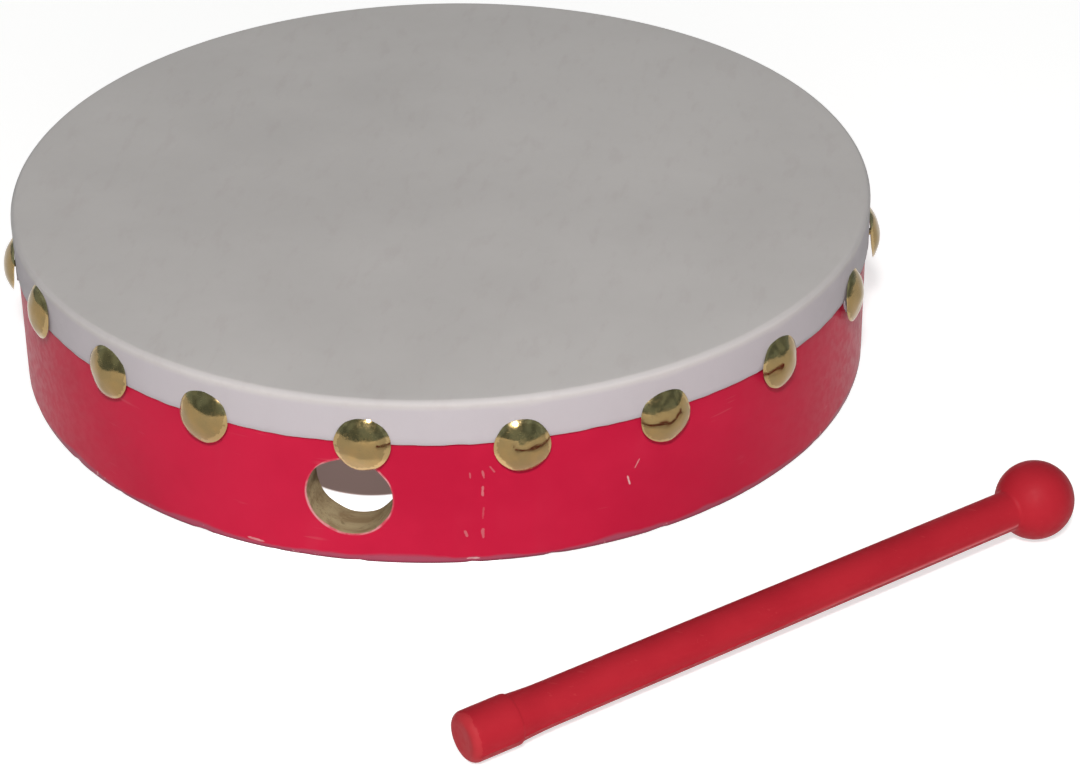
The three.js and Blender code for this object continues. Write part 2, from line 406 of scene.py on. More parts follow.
def made_plain(piece):
    """The piece's evaluated shape as its own mesh, with no modifier left."""
    bpy.context.view_layer.update()
    shown = piece.evaluated_get(bpy.context.evaluated_depsgraph_get())
    mesh = bpy.data.meshes.new_from_object(shown)
    piece.modifiers.clear()
    piece.data = mesh
    return mesh


# Node trees

def put(tree, kind, inputs=None, **settings):
    """A node with its settings; an input is a value or another node's output."""
    made = tree.nodes.new(kind)
    for name, value in settings.items():
        setattr(made, name, value)
    for name, value in (inputs or {}).items():
        if isinstance(value, bpy.types.NodeSocket):
            tree.links.new(value, made.inputs[name])
        else:
            made.inputs[name].default_value = value
    return made


def calc(tree, operation, a, b=0.0):
    """One sum on values that change over the surface."""
    return put(tree, "ShaderNodeMath", {0: a, 1: b}, operation=operation).outputs[0]


def scaled(tree, value, share):
    """A value times a share."""
    return calc(tree, "MULTIPLY", value, share)


def vectors(tree, operation, a, b=(0.0, 0.0, 0.0)):
    """What two vectors make: the outputs Vector and Value."""
    return put(tree, "ShaderNodeVectorMath", {0: a, 1: b}, operation=operation).outputs


def eased(tree, value, low, high, to_low=0.0, to_high=1.0):
    """Takes low to to_low and high to to_high, with a soft start and end."""
    inputs = {"Value": value, "From Min": low, "From Max": high, "To Min": to_low, "To Max": to_high}
    return put(tree, "ShaderNodeMapRange", inputs, interpolation_type="SMOOTHSTEP").outputs[0]


def mixed(tree, share, a, b):
    """Colour a going to colour b."""
    made = put(tree, "ShaderNodeMix", {0: share}, data_type="RGBA")
    for socket, value in ((made.inputs[6], a), (made.inputs[7], b)):
        if isinstance(value, bpy.types.NodeSocket):
            tree.links.new(value, socket)
        else:
            socket.default_value = value
    return made.outputs[2]


def clouds(tree, vector, scale, detail=3.0, roughness=0.55):
    """Soft noise, about 0 to 1."""
    inputs = {"Vector": vector, "Scale": scale, "Detail": detail, "Roughness": roughness}
    return put(tree, "ShaderNodeTexNoise", inputs).outputs["Fac"]


def stretched(tree, vector, scale):
    """A place, stretched along each axis."""
    return put(tree, "ShaderNodeMapping", {"Vector": vector, "Scale": scale}).outputs[0]


def group(kind, name, inputs, outputs):
    """A node group with its sockets, and the sockets of its two end nodes."""
    tree = bpy.data.node_groups.new(name, kind)
    for label, socket in outputs:
        tree.interface.new_socket(label, in_out="OUTPUT", socket_type=socket)
    for label, socket, value in inputs:
        made = tree.interface.new_socket(label, in_out="INPUT", socket_type=socket)
        if value is not None:
            made.default_value = value
    given = tree.nodes.new("NodeGroupInput").outputs
    result = tree.nodes.new("NodeGroupOutput").inputs
    return tree, given, result


def use(tree, shared, inputs):
    """The outputs of a shared group, placed in this tree."""
    return put(tree, "ShaderNodeGroup", inputs, node_tree=shared).outputs


def make_along_the_hoop():
    """Turns a place about the drum's axis into length along the strip, height and distance out."""
    tree, given, result = group(
        "ShaderNodeTree", "along_the_hoop",
        [("Place", "NodeSocketVector", None)], [("Along", "NodeSocketVector")],
    )
    part = put(tree, "ShaderNodeSeparateXYZ", {0: given["Place"]}).outputs
    turn = calc(tree, "ARCTAN2", part["Y"], part["X"])
    length = scaled(tree, turn, HOOP_RADIUS * MM)
    flat = put(tree, "ShaderNodeCombineXYZ", {"X": part["X"], "Y": part["Y"]}).outputs[0]
    out = vectors(tree, "LENGTH", flat)["Value"]
    along = put(tree, "ShaderNodeCombineXYZ", {"X": length, "Y": part["Z"], "Z": out}).outputs[0]
    tree.links.new(along, result["Along"])
    return tree


def make_mottle():
    """Broad and fine tone changes over a surface, each about 0 to 1."""
    tree, given, result = group(
        "ShaderNodeTree", "mottle",
        [("Place", "NodeSocketVector", None), ("Broad scale", "NodeSocketFloat", 20.0),
         ("Fine scale", "NodeSocketFloat", 300.0)],
        [("Broad", "NodeSocketFloat"), ("Fine", "NodeSocketFloat")],
    )
    broad = clouds(tree, given["Place"], given["Broad scale"], detail=4.0)
    fine = clouds(tree, given["Place"], given["Fine scale"], detail=2.0, roughness=0.6)
    tree.links.new(eased(tree, broad, 0.3, 0.7), result["Broad"])
    tree.links.new(eased(tree, fine, 0.25, 0.75), result["Fine"])
    return tree


def make_scuffs():
    """Fine broken scratches in two directions."""
    tree, given, result = group(
        "ShaderNodeTree", "scuffs",
        [("Place", "NodeSocketVector", None), ("Scale", "NodeSocketFloat", 60.0),
         ("Amount", "NodeSocketFloat", 0.5)],
        [("Mask", "NodeSocketFloat")],
    )
    first = stretched(tree, given["Place"], (1.0, 14.0, 14.0))
    second = put(
        tree, "ShaderNodeMapping",
        {"Vector": given["Place"], "Rotation": (0.4, 0.9, 1.1), "Scale": (1.5, 18.0, 18.0)},
    ).outputs[0]
    lines = calc(
        tree, "MAXIMUM",
        eased(tree, clouds(tree, first, given["Scale"], detail=1.0), 0.69, 0.74),
        eased(tree, clouds(tree, second, given["Scale"], detail=1.0), 0.70, 0.75),
    )
    patches = eased(tree, clouds(tree, given["Place"], given["Scale"], detail=2.0), 0.5, 0.62)
    shown = scaled(tree, scaled(tree, lines, patches), given["Amount"])
    tree.links.new(shown, result["Mask"])
    return tree


def make_worn_edge():
    """Wear that eats in from an edge with a ragged border."""
    tree, given, result = group(
        "ShaderNodeTree", "worn_edge",
        [("Place", "NodeSocketVector", None), ("Edge", "NodeSocketFloat", 0.0),
         ("Scale", "NodeSocketFloat", 250.0), ("Reach", "NodeSocketFloat", 0.5)],
        [("Mask", "NodeSocketFloat")],
    )
    ragged = clouds(tree, given["Place"], given["Scale"], detail=4.0, roughness=0.65)
    broken = clouds(tree, given["Place"], scaled(tree, given["Scale"], 0.12), detail=2.0)
    cover = calc(tree, "ADD", scaled(tree, ragged, 0.8), scaled(tree, broken, 0.9))
    pull = calc(tree, "SUBTRACT", scaled(tree, given["Edge"], given["Reach"]), cover)
    at_edge = eased(tree, given["Edge"], 0.02, 0.2)
    worn = scaled(tree, eased(tree, pull, -0.62, -0.56), at_edge)
    tree.links.new(worn, result["Mask"])
    return tree


def make_nick():
    """One scratch on the lacquer, from its middle, half length, slant and half width in millimetres."""
    tree, given, result = group(
        "ShaderNodeTree", "nick",
        [("Along", "NodeSocketVector", None), ("Middle", "NodeSocketVector", None),
         ("Slant", "NodeSocketFloat", 0.0), ("Half length", "NodeSocketFloat", 1.0),
         ("Half width", "NodeSocketFloat", 0.2)],
        [("Mask", "NodeSocketFloat")],
    )
    away = vectors(tree, "SUBTRACT", given["Along"], given["Middle"])["Vector"]
    turned = put(
        tree, "ShaderNodeVectorRotate",
        {"Vector": away, "Axis": (0.0, 0.0, 1.0), "Angle": given["Slant"]},
        rotation_type="AXIS_ANGLE", invert=True,
    ).outputs[0]
    part = put(tree, "ShaderNodeSeparateXYZ", {0: turned}).outputs
    lengthwise = calc(tree, "DIVIDE", scaled(tree, part["Y"], 1 / MM), given["Half length"])
    across = calc(tree, "DIVIDE", scaled(tree, part["X"], 1 / MM), given["Half width"])
    ends = calc(tree, "POWER", calc(tree, "ABSOLUTE", lengthwise), 4.0)
    reach = calc(tree, "ADD", scaled(tree, across, across), ends)
    wobble = calc(tree, "SUBTRACT", clouds(tree, given["Along"], scale=900.0, detail=2.0, roughness=0.5), 0.5)
    uneven = calc(tree, "ADD", reach, scaled(tree, wobble, 2.4))
    tree.links.new(eased(tree, uneven, 1.0, 0.35), result["Mask"])
    return tree


ALONG_THE_HOOP = make_along_the_hoop()
MOTTLE = make_mottle()
SCUFFS = make_scuffs()
WORN_EDGE = make_worn_edge()
NICK = make_nick()


def finish_of(name):
    """A new material: its tree, its shader, and the place on the object."""
    material = bpy.data.materials.new(name)
    material.use_nodes = True
    tree = material.node_tree
    place = put(tree, "ShaderNodeTexCoord").outputs["Object"]
    return material, tree, tree.nodes["Principled BSDF"], place


def about_the_drum(tree, place):
    """The place from the drum's axis, turned so that the strip's joint is where the length starts."""
    shifted = put(tree, "ShaderNodeMapping", {"Vector": place, "Location": -DRUM_AXIS}).outputs[0]
    turn = (0.0, 0.0, math.pi - JOINT_TURN_OUTSIDE)
    centred = put(tree, "ShaderNodeMapping", {"Vector": shifted, "Rotation": turn}).outputs[0]
    return use(tree, ALONG_THE_HOOP, {"Place": centred})["Along"]


def length_along(degrees):
    """The length along the strip of a place so many degrees round from the thumb hole."""
    turn = THUMB_HOLE_TURN + math.radians(degrees) + math.pi - JOINT_TURN_OUTSIDE
    return ((turn + math.pi) % ROUND - math.pi) * HOOP_RADIUS * MM


def edge_mark(tree, name="edge"):
    """A mark that the piece carries on its points."""
    return put(tree, "ShaderNodeAttribute", attribute_name=name).outputs["Fac"]


def tinted(tree, colour, mask, share, tone):
    """A colour going to another tone by a share of the mask."""
    return mixed(tree, scaled(tree, mask, share), colour, linear(tone))


def worn_edge(tree, place, scale, reach):
    """Wear along the edge that is marked on the piece."""
    wear = {"Place": place, "Edge": edge_mark(tree), "Scale": scale, "Reach": reach}
    return use(tree, WORN_EDGE, wear)["Mask"]


def finish_off(tree, shader, colour, roughness, height, relief):
    """Joins a finish's colour, roughness and relief to its shader."""
    strength, depth = relief
    raised = put(tree, "ShaderNodeBump", {"Height": height, "Strength": strength, "Distance": depth})
    tree.links.new(colour, shader.inputs["Base Color"])
    tree.links.new(roughness, shader.inputs["Roughness"])
    tree.links.new(raised.outputs[0], shader.inputs["Normal"])


def all_nicks(tree, along):
    """The scratches together, each as strong as it shows."""
    nicks = 0.0
    for degrees, height, slant, length, width, strength in NICKS:
        mask = use(tree, NICK, {
            "Along": along, "Middle": (length_along(degrees), height * MM, 0.0),
            "Slant": slant, "Half length": length, "Half width": width,
        })["Mask"]
        nicks = calc(tree, "MAXIMUM", scaled(tree, mask, strength), nicks)
    return nicks


def crimson_lacquer():
    """Outside of the hoop: brushed lacquer with a dusty foot, painted shade along the foot's edge, scratches
    and a chipped thumb hole.
    """
    material, tree, shader, place = finish_of("crimson_lacquer")
    along = about_the_drum(tree, place)
    tone = use(tree, MOTTLE, {"Place": along, "Broad scale": 28.0, "Fine scale": 520.0})
    colour = mixed(tree, tone["Broad"], linear(CRIMSON_DEEP), linear(CRIMSON))
    streaks = clouds(tree, stretched(tree, along, (1.0, 0.16, 1.0)), scale=120.0, detail=4.0)
    hazy = scaled(tree, eased(tree, streaks, 0.5, 0.72), tone["Broad"])
    colour = tinted(tree, colour, hazy, share=0.22, tone=CRIMSON_HAZE)

    # A dusty rubbed band above the foot, and painted shade that darkens the edge the drum stands on
    above_floor = put(tree, "ShaderNodeSeparateXYZ", {"Vector": along}).outputs["Y"]
    wander = clouds(tree, stretched(tree, along, (1.0, 0.0, 0.0)), scale=26.0, detail=4.0)
    band = eased(tree, wander, 0.35, 0.65, FOOT_RUB_LOW * MM, FOOT_RUB_HIGH * MM)
    rubbed = eased(tree, calc(tree, "DIVIDE", above_floor, band), 1.1, 0.6)
    colour = tinted(tree, colour, rubbed, share=0.8, tone=CRIMSON_DUSTY)
    colour = mixed(tree, eased(tree, edge_mark(tree), 0.55, 0.95, 0.0, 0.85), colour, linear(CRIMSON_FOOT_SHADE))

    # Pale where the lacquer is gone: scratches, scuffs, the foot's edge and the thumb hole's chipped rim
    flat = stretched(tree, along, (1.0, 1.0, 0.0))
    hole = (length_along(0), THUMB_HOLE_HEIGHT * MM, 0.0)
    from_hole = vectors(tree, "DISTANCE", flat, hole)["Value"]
    rim_outside = (THUMB_HOLE_RADIUS + CHIPPED_RIM_OUTSIDE) * MM
    rim_inside = (THUMB_HOLE_RADIUS + CHIPPED_RIM_INSIDE) * MM
    chips = eased(tree, clouds(tree, along, scale=260.0, detail=3.0), 0.4, 0.62, 0.12, 0.6)
    rim = scaled(tree, eased(tree, from_hole, rim_outside, rim_inside), chips)
    scuffs = use(tree, SCUFFS, {"Place": along, "Scale": 55.0, "Amount": 0.06})["Mask"]
    foot_edge = worn_edge(tree, along, scale=420.0, reach=0.12)
    worn = calc(tree, "MAXIMUM", scaled(tree, foot_edge, 0.75), rim)
    bare = calc(tree, "MAXIMUM", calc(tree, "MAXIMUM", all_nicks(tree, flat), scuffs), worn)
    colour = mixed(tree, bare, colour, linear(CHIPPED_PALE))

    roughness = eased(tree, tone["Fine"], 0.0, 1.0, *LACQUER_ROUGHNESS)
    roughness = calc(tree, "ADD", roughness, scaled(tree, bare, 0.3))
    grain = clouds(tree, stretched(tree, along, (0.05, 1.0, 1.0)), scale=700.0, detail=3.0)
    peel = clouds(tree, along, scale=900.0, detail=1.0)
    texture = calc(tree, "ADD", scaled(tree, grain, 0.6), scaled(tree, peel, 0.4))
    height = calc(tree, "SUBTRACT", texture, scaled(tree, bare, 1.2))
    finish_off(tree, shader, colour, roughness, height, LACQUER_RELIEF)
    shader.inputs["Specular IOR Level"].default_value = LACQUER_SPECULAR
    return material


def bare_wood():
    """Inside of the hoop: grain and pores along the strip, and lacquer smeared over the foot."""
    material, tree, shader, place = finish_of("bare_wood")
    along = about_the_drum(tree, place)
    drift = clouds(tree, stretched(tree, along, (0.4, 1.0, 1.0)), scale=30.0, detail=2.0)
    sway = put(tree, "ShaderNodeCombineXYZ", {"Y": scaled(tree, drift, 0.02)}).outputs[0]
    bent = vectors(tree, "ADD", along, sway)["Vector"]
    grain = clouds(tree, stretched(tree, bent, (0.03, 1.0, 1.0)), scale=420.0, detail=5.0, roughness=0.62)
    pores = clouds(tree, stretched(tree, bent, (0.06, 1.0, 1.0)), scale=1800.0, detail=2.0)
    tone = use(tree, MOTTLE, {"Place": along, "Broad scale": 35.0, "Fine scale": 700.0})
    colour = mixed(tree, eased(tree, grain, 0.35, 0.68), linear(WOOD_PALE), linear(WOOD_DARK))
    colour = tinted(tree, colour, eased(tree, pores, 0.58, 0.7), share=0.5, tone=WOOD_PORE)
    colour = tinted(tree, colour, tone["Broad"], share=0.25, tone=WOOD_SHADE)
    smear = worn_edge(tree, along, scale=300.0, reach=0.45)
    colour = tinted(tree, colour, smear, share=0.5, tone=LACQUER_SMEAR)
    roughness = eased(tree, tone["Fine"], 0.0, 1.0, *WOOD_ROUGHNESS)
    height = calc(tree, "ADD", grain, scaled(tree, pores, 0.6))
    finish_off(tree, shader, colour, roughness, height, WOOD_RELIEF)
    shader.inputs["Specular IOR Level"].default_value = WOOD_SPECULAR
    return material


def drum_skin():
    """Whitened skin: fibres, a skirt painted darker and lilac as shade, a fold painted darker as shade
    against its highlight, and a soiled cut edge.
    """
    material, tree, shader, place = finish_of("whitened_skin")
    tone = use(tree, MOTTLE, {"Place": place, "Broad scale": 14.0, "Fine scale": 380.0})
    fibres = clouds(tree, stretched(tree, place, (1.0, 0.35, 1.0)), scale=240.0, detail=4.0, roughness=0.65)
    colour = mixed(tree, tone["Broad"], linear(SKIN_SHADE), linear(SKIN_WHITE))
    colour = tinted(tree, colour, eased(tree, fibres, 0.52, 0.7), share=0.12, tone=SKIN_SOIL)
    soiled = worn_edge(tree, place, scale=260.0, reach=0.55)
    colour = tinted(tree, colour, soiled, share=0.2, tone=SKIN_SOIL)
    # painted shade: the skirt goes to a darker lilac tone, standing in for how light falls on the side
    colour = tinted(tree, colour, edge_mark(tree, "skirt"), share=0.8, tone=SKIRT_LILAC_SHADE)
    # painted shade: the fold is dimmed against the highlight the lamps put on it
    colour = tinted(tree, colour, edge_mark(tree, "fold"), share=0.5, tone=FOLD_SHADE_TONE)
    roughness = eased(tree, tone["Fine"], 0.0, 1.0, *SKIN_ROUGHNESS)
    height = calc(tree, "ADD", fibres, scaled(tree, clouds(tree, place, scale=1500.0, detail=2.0), 0.6))
    finish_off(tree, shader, colour, roughness, height, SKIN_RELIEF)
    shader.inputs["Specular IOR Level"].default_value = SKIN_SPECULAR
    return material


def tack_brass():
    """Pressed brass: a little tarnish, fine scuffs and a rim that is rubbed bright."""
    material, tree, shader, place = finish_of("tack_brass")
    tone = use(tree, MOTTLE, {"Place": place, "Broad scale": 260.0, "Fine scale": 1400.0})
    colour = tinted(tree, linear(BRASS_GOLD), tone["Broad"], share=0.45, tone=BRASS_TARNISH)
    rim = worn_edge(tree, place, scale=700.0, reach=0.45)
    colour = tinted(tree, colour, rim, share=0.35, tone=BRASS_WORN)
    scuffs = use(tree, SCUFFS, {"Place": place, "Scale": 420.0, "Amount": 1.0})["Mask"]
    roughness = eased(tree, tone["Fine"], 0.0, 1.0, *BRASS_ROUGHNESS)
    roughness = calc(tree, "ADD", roughness, scaled(tree, scuffs, 0.25))
    finish_off(tree, shader, colour, roughness, clouds(tree, place, scale=900.0, detail=2.0), BRASS_RELIEF)
    shader.inputs["Metallic"].default_value = 1.0
    return material


def beater_plastic():
    """Moulded plastic: scuffs, a rubbed butt end and a pale line painted along the moulding seam as its
    highlight.
    """
    material, tree, shader, place = finish_of("red_plastic")
    tone = use(tree, MOTTLE, {"Place": place, "Broad scale": 45.0, "Fine scale": 600.0})
    scuffs = use(tree, SCUFFS, {"Place": place, "Scale": 110.0, "Amount": 0.15})["Mask"]
    butt = worn_edge(tree, place, scale=380.0, reach=0.6)
    pale = calc(tree, "MAXIMUM", scuffs, scaled(tree, butt, 0.2))
    colour = mixed(tree, tone["Broad"], linear(PLASTIC_DEEP), linear(PLASTIC_RED))
    colour = mixed(tree, pale, colour, linear(PLASTIC_SCUFF))
    # painted highlight: the seam's pale line stands in for the light the ridge catches
    colour = tinted(tree, colour, edge_mark(tree, "seam"), share=0.55, tone=PLASTIC_SEAM_HIGHLIGHT)
    roughness = eased(tree, tone["Fine"], 0.0, 1.0, *PLASTIC_ROUGHNESS)
    roughness = calc(tree, "ADD", roughness, scaled(tree, pale, 0.2))
    texture = clouds(tree, place, scale=1300.0, detail=2.0)
    height = calc(tree, "ADD", texture, scaled(tree, tone["Broad"], 0.6))
    finish_off(tree, shader, colour, roughness, height, PLASTIC_RELIEF)
    shader.inputs["Specular IOR Level"].default_value = PLASTIC_SPECULAR
    return material


LACQUER = crimson_lacquer()
WOOD = bare_wood()
SKIN = drum_skin()
BRASS = tack_brass()
PLASTIC = beater_plastic()


# Pieces

def about_axis(radius, turn, height):
    """Points at a distance out, a turn and a height about the drum's axis, in millimetres."""
    radius, turn, height = np.broadcast_arrays(radius, turn, height)
    x = DRUM_AXIS.x / MM + radius * np.cos(turn)
    y = DRUM_AXIS.y / MM + radius * np.sin(turn)
    return np.stack([x, y, height], -1)


def round_the_axis(points):
    """Distance out, turn and height of points in metres, in millimetres."""
    x, y = points[:, 0] - DRUM_AXIS.x, points[:, 1] - DRUM_AXIS.y
    return np.hypot(x, y) / MM, np.arctan2(y, x), points[:, 2] / MM


def hoop_rows():
    """The wall's section taken round: eased edges, a wavy wall, a dented foot and the joint's groove."""
    joint = np.array(JOINT_STEPS)
    turns = np.linspace(-math.pi, math.pi, HOOP_TURNS, endpoint=False)
    turns = np.unique(np.concatenate([turns, JOINT_TURN_OUTSIDE + joint, JOINT_TURN_INSIDE + joint]))
    bearing = (HOOP_RADIUS - BEARING_EDGE, HOOP_TOP - BEARING_EDGE)
    inner = HOOP_INNER_RADIUS + EDGE_EASE
    outside = [(HOOP_RADIUS, z) for z in np.linspace(EDGE_EASE, bearing[1], WALL_ROWS)[1:-1]]
    inside = [(HOOP_INNER_RADIUS, z) for z in np.linspace(HOOP_TOP - EDGE_EASE, EDGE_EASE, WALL_ROWS)[1:-1]]
    profile = [
        *arc(HOOP_RADIUS - EDGE_EASE, EDGE_EASE, EDGE_EASE, -90, 0, 4), *outside,
        *arc(*bearing, BEARING_EDGE, 0, 90, 4), *arc(inner, HOOP_TOP - EDGE_EASE, EDGE_EASE, 90, 180, 3),
        *inside, *arc(inner, EDGE_EASE, EDGE_EASE, 180, 270, 3),
    ]
    wave = WALL_WAVE * unevenness(turns, 3, (2, 3, 5, 8)) + WALL_RIPPLE * unevenness(turns, 4, (13, 19, 27))
    dents = np.clip(unevenness(turns, 5, (31, 47, 73, 101)) - FOOT_DENT_START, 0, 1) * FOOT_DENT
    outer_groove = JOINT_GROOVE * (np.abs(turns - JOINT_TURN_OUTSIDE) < 1e-6)
    inner_groove = JOINT_GROOVE * (np.abs(turns - JOINT_TURN_INSIDE) < 1e-6)
    rows = []
    for radius, height in profile:
        low = max(0.0, 1 - height / (2 * EDGE_EASE))
        outwards = radius > HOOP_RADIUS - BEARING_EDGE
        moved = radius + wave - (outer_groove + low * dents if outwards else -inner_groove)
        lifted = height + (FOOT_DENT_LIFT * low * dents if outwards and height > 0 else 0)
        rows.append(about_axis(moved, turns, lifted))
    return rows


def thumb_hole_cutter():
    """A bar through the wall, a little rough round, flaring where it meets the wall's two faces."""
    spots = np.linspace(0, ROUND, THUMB_HOLE_SPOTS, endpoint=False)
    rough = 1 + THUMB_HOLE_ROUGHNESS * unevenness(spots, 8, (2, 3, 5, 9))
    flare = THUMB_HOLE_RADIUS + THUMB_HOLE_EASE
    start, end = HOOP_INNER_RADIUS - CUTTER_OVERSHOOT, HOOP_RADIUS + CUTTER_OVERSHOOT
    steps = [
        (start, 0), (start, flare), (HOOP_INNER_RADIUS, flare),
        (HOOP_INNER_RADIUS + THUMB_HOLE_EASE, THUMB_HOLE_RADIUS),
        (HOOP_RADIUS - 2 * THUMB_HOLE_EASE, THUMB_HOLE_RADIUS),
        (HOOP_RADIUS - THUMB_HOLE_EASE / 2, THUMB_HOLE_RADIUS + THUMB_HOLE_LIP),
        (HOOP_RADIUS + THUMB_HOLE_LIP, flare), (end, flare), (end, 0),
    ]
    rows = []
    for out, radius in steps:
        side = radius * rough * np.cos(spots)
        turn = THUMB_HOLE_TURN + np.arcsin(side / out)
        rows.append(about_axis(out, turn, THUMB_HOLE_HEIGHT + radius * rough * np.sin(spots)))
    return rows


def make_hoop():
    """The hoop with its thumb hole, lacquered outside and bare everywhere else."""
    hoop = standing("hoop_lacquered", wrapped("hoop_lacquered", hoop_rows(), ring=True), [LACQUER, WOOD])
    cutter = standing("thumb_hole", wrapped("thumb_hole", thumb_hole_cutter()), [])
    cut = hoop.modifiers.new("thumb_hole", "BOOLEAN")
    cut.operation, cut.solver, cut.object = "DIFFERENCE", "EXACT", cutter
    mesh = made_plain(hoop)
    bpy.data.objects.remove(cutter)

    middles = np.array([p.center for p in mesh.polygons])
    facing = np.array([p.normal for p in mesh.polygons])
    out, turn, _ = round_the_axis(middles)
    outwards = facing[:, 0] * np.cos(turn) + facing[:, 1] * np.sin(turn)
    painted = (out > HOOP_RADIUS - EDGE_EASE - PAINTED_DEPTH) & (outwards > PAINTED_FACING)
    mesh.polygons.foreach_set("material_index", np.where(painted, 0, 1).astype(np.int32))

    # The foot's mark drives painted shade darkening the foot as well as the lacquer's wear and the smear
    # inside
    out, _, height = round_the_axis(points_of(mesh))
    foot_shade_and_wear = np.exp(-((height / FOOT_SHADE_AND_WEAR_HEIGHT) ** 2))
    mark_points(mesh, "edge", foot_shade_and_wear * (out > HOOP_RADIUS - FOOT_SHADE_AND_WEAR_DEPTH))
    smoothed(mesh, HOOP_SHARP)
    return hoop


def skirt_edge(turns):
    """The height of the skirt's trimmed edge: hand cut, with a tab left under each tack."""
    wave = SKIRT_WAVE * unevenness(turns, 11, (5, 9, 14, 23))
    ripple = SKIRT_RIPPLE * unevenness(turns, 12, (61, 83, 127))
    edge = SKIRT_EDGE + wave + ripple
    for turn, height in zip(TACK_TURN, TACK_RIM[:, 2] / MM):
        away = np.abs((turns - turn + math.pi) % ROUND - math.pi) * SKIN_RADIUS
        tab = np.sqrt(np.clip(TAB_RADIUS ** 2 - away ** 2, 0, None))
        edge = np.where(away < TAB_RADIUS, np.minimum(edge, height - tab), edge)
    return edge


def skin_rows():
    """The skin from its inside to its outside: head, fold, skirt, cut edge and back."""
    turns = np.linspace(-math.pi, math.pi, SKIN_TURNS, endpoint=False)
    edge = skirt_edge(turns)
    pressed = nearness(turns, TACK_PRESS_REACH)
    flutter = SKIRT_FLUTTER * unevenness(turns, 13, (40, 57, 90))
    stand_off = SKIRT_STAND_OFF * (1 - pressed) + flutter - SKIRT_STAND_OFF * pressed
    fold = (SKIN_RADIUS - SKIN_FOLD, SKIN_TOP - SKIN_FOLD)
    middle = np.linspace(0, HEAD_MIDDLE, HEAD_RINGS)[1:]
    border = np.linspace(HEAD_BORDER, fold[0] - FLAT_STOPS_SHORT, BORDER_RINGS)
    flat = np.concatenate([middle, border])

    def skirt(radius, shares):
        """Rows at shares of the way down to the trimmed edge."""
        rows = []
        for share in shares:
            height = fold[1] + (edge - fold[1]) * share
            rows.append(about_axis(radius + stand_off * share ** SKIRT_STAND_OFF_GROWTH, turns, height))
        return rows

    def rings(points):
        """Level rows at distances out and heights."""
        return [about_axis(radius, turns, height) for radius, height in points]

    def head(radii, height):
        """Level rows that all have one height."""
        return rings((radius, height) for radius in radii)

    inside = SKIN_TOP - SKIN_THICKNESS
    shares = np.linspace(0, 1, SKIRT_ROWS + 1)[1:]
    return [
        *head([0, *flat], inside),
        *rings(arc(*fold, SKIN_FOLD - SKIN_THICKNESS, 90, 0, 5)),
        *skirt(SKIN_RADIUS - SKIN_THICKNESS, shares),
        *skirt(SKIN_RADIUS - SKIRT_CUT, [1.0]),
        *skirt(SKIN_RADIUS, (shares - SKIRT_LAP)[::-1]),
        *rings(arc(*fold, SKIN_FOLD, 0, 90, 9)),
        *head([*flat[::-1], 0], SKIN_TOP),
    ]


def make_skin():
    """The drawn skin, marked at its cut edge, and on its skirt and its fold for painted shade."""
    skin = standing("skin_drawn_head", wrapped("skin_drawn_head", skin_rows()), [SKIN])
    out, turn, height = round_the_axis(points_of(skin.data))
    above = height - skirt_edge(turn)
    near_wall = out > SKIN_RADIUS - NEAR_THE_WALL
    mark_points(skin.data, "edge", np.exp(-((above / SOILED_EDGE) ** 2)) * near_wall)
    # The skirt's mark is where painted shade darkens the skirt
    below_fold = SKIN_TOP - SKIN_FOLD - height
    mark_points(skin.data, "skirt", np.clip(below_fold / SKIRT_SHADE_DROP, 0, 1) * near_wall)
    # The fold's mark is where painted shade dims the fold
    on_fold = np.exp(-(((SKIN_TOP - FOLD_SHADE_DROP - height) / FOLD_SHADE_WIDTH) ** 2))
    mark_points(skin.data, "fold", on_fold * (out > SKIN_RADIUS - SKIN_FOLD))
    smoothed(skin.data, SKIN_SHARP)
    return skin


def turned_row(radius, turns, height):
    """One row of points round the Z axis."""
    return np.stack([radius * np.cos(turns), radius * np.sin(turns), np.full_like(turns, height)], -1)


def tack_rows():
    """One tack with its rim at zero height: a hollow dome with a rounded lip and a pointed pin."""
    ball = (TACK_RADIUS ** 2 + TACK_DOME ** 2) / (2 * TACK_DOME)
    middle = TACK_DOME - ball
    hollow = ball - TACK_SHEET
    lip = math.degrees(math.asin((-middle + TACK_ROLL) / ball))
    hollow_rim = math.degrees(math.asin((-middle + TACK_HOLLOW_RIM) / hollow))
    top = math.degrees(math.acos(TACK_PIN_RADIUS / hollow))
    profile = [
        (0, -TACK_PIN_LENGTH), (TACK_PIN_RADIUS / 2, TACK_POINT_LENGTH / 2 - TACK_PIN_LENGTH),
        (TACK_PIN_RADIUS, TACK_POINT_LENGTH - TACK_PIN_LENGTH),
        *arc(0, middle, hollow, top, hollow_rim, 5),
        *((TACK_RADIUS - narrower, height) for narrower, height in TACK_LIP),
        *arc(0, middle, ball, lip, 90, 12),
    ]
    turns = np.linspace(0, ROUND, TACK_TURNS, endpoint=False)
    return [turned_row(radius, turns, height) for radius, height in profile]


